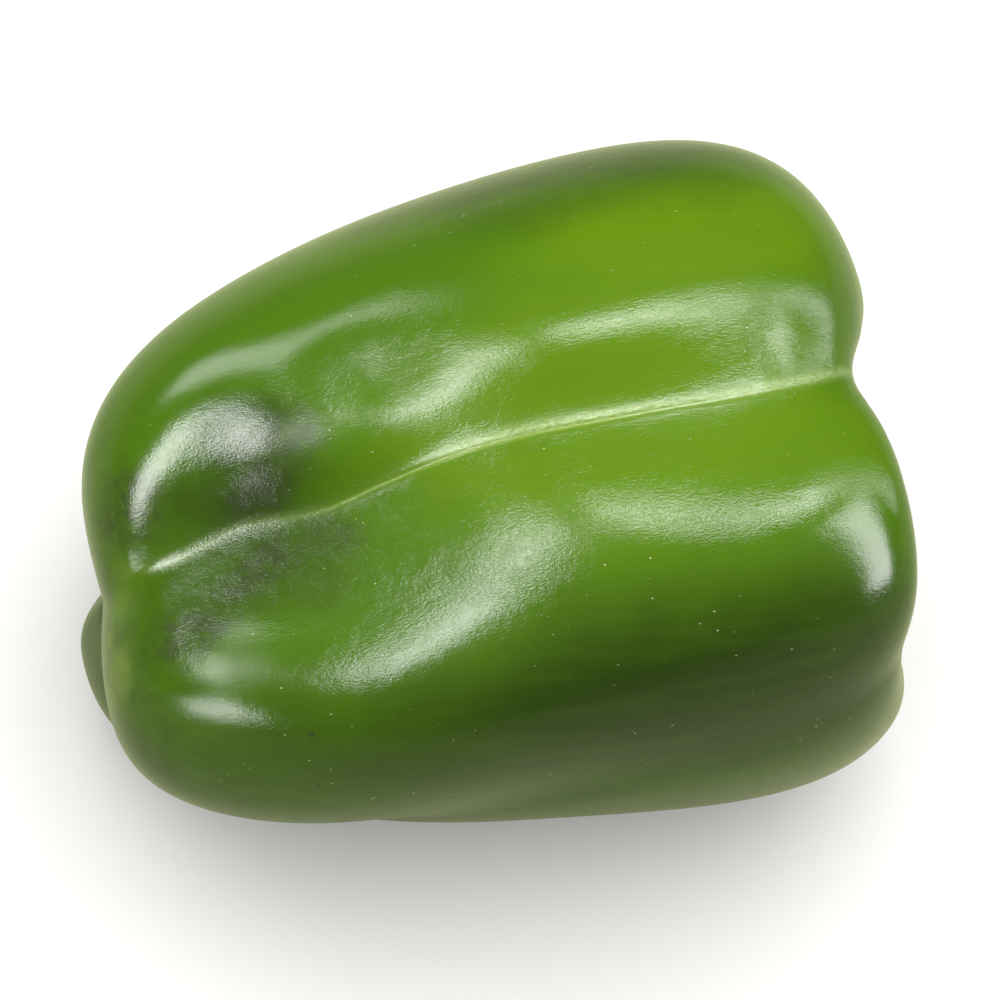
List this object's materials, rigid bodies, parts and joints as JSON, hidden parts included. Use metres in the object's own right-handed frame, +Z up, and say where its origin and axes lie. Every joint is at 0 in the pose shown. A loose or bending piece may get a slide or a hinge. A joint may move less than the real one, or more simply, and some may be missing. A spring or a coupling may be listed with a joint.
{
  "type": "bell pepper",
  "caption": "Blocky green bell pepper lying on its side, with deep furrows between broad lobes, a hollow at the stem end and a short trimmed stem",
  "frame": {"origin": "middle of the footprint's bounding box, on the surface the pepper lies on", "axes": "+X from the blossom end towards the stem end along the long axis, +Z up as it lies, the front lobe on the -Y side"},
  "size_m": [0.0964, 0.0742, 0.0748],
  "materials": {
    "skin": "waxy glossy green skin with a faint orange-peel grain, yellow-green along the top furrow, darker green low down",
    "stem_green": "satin ribbed green stalk with a dry pale cut end"
  },
  "bodies": {
    "root": {"fruit": "skin", "stem": "stem_green"}
  },
  "joints": []
}
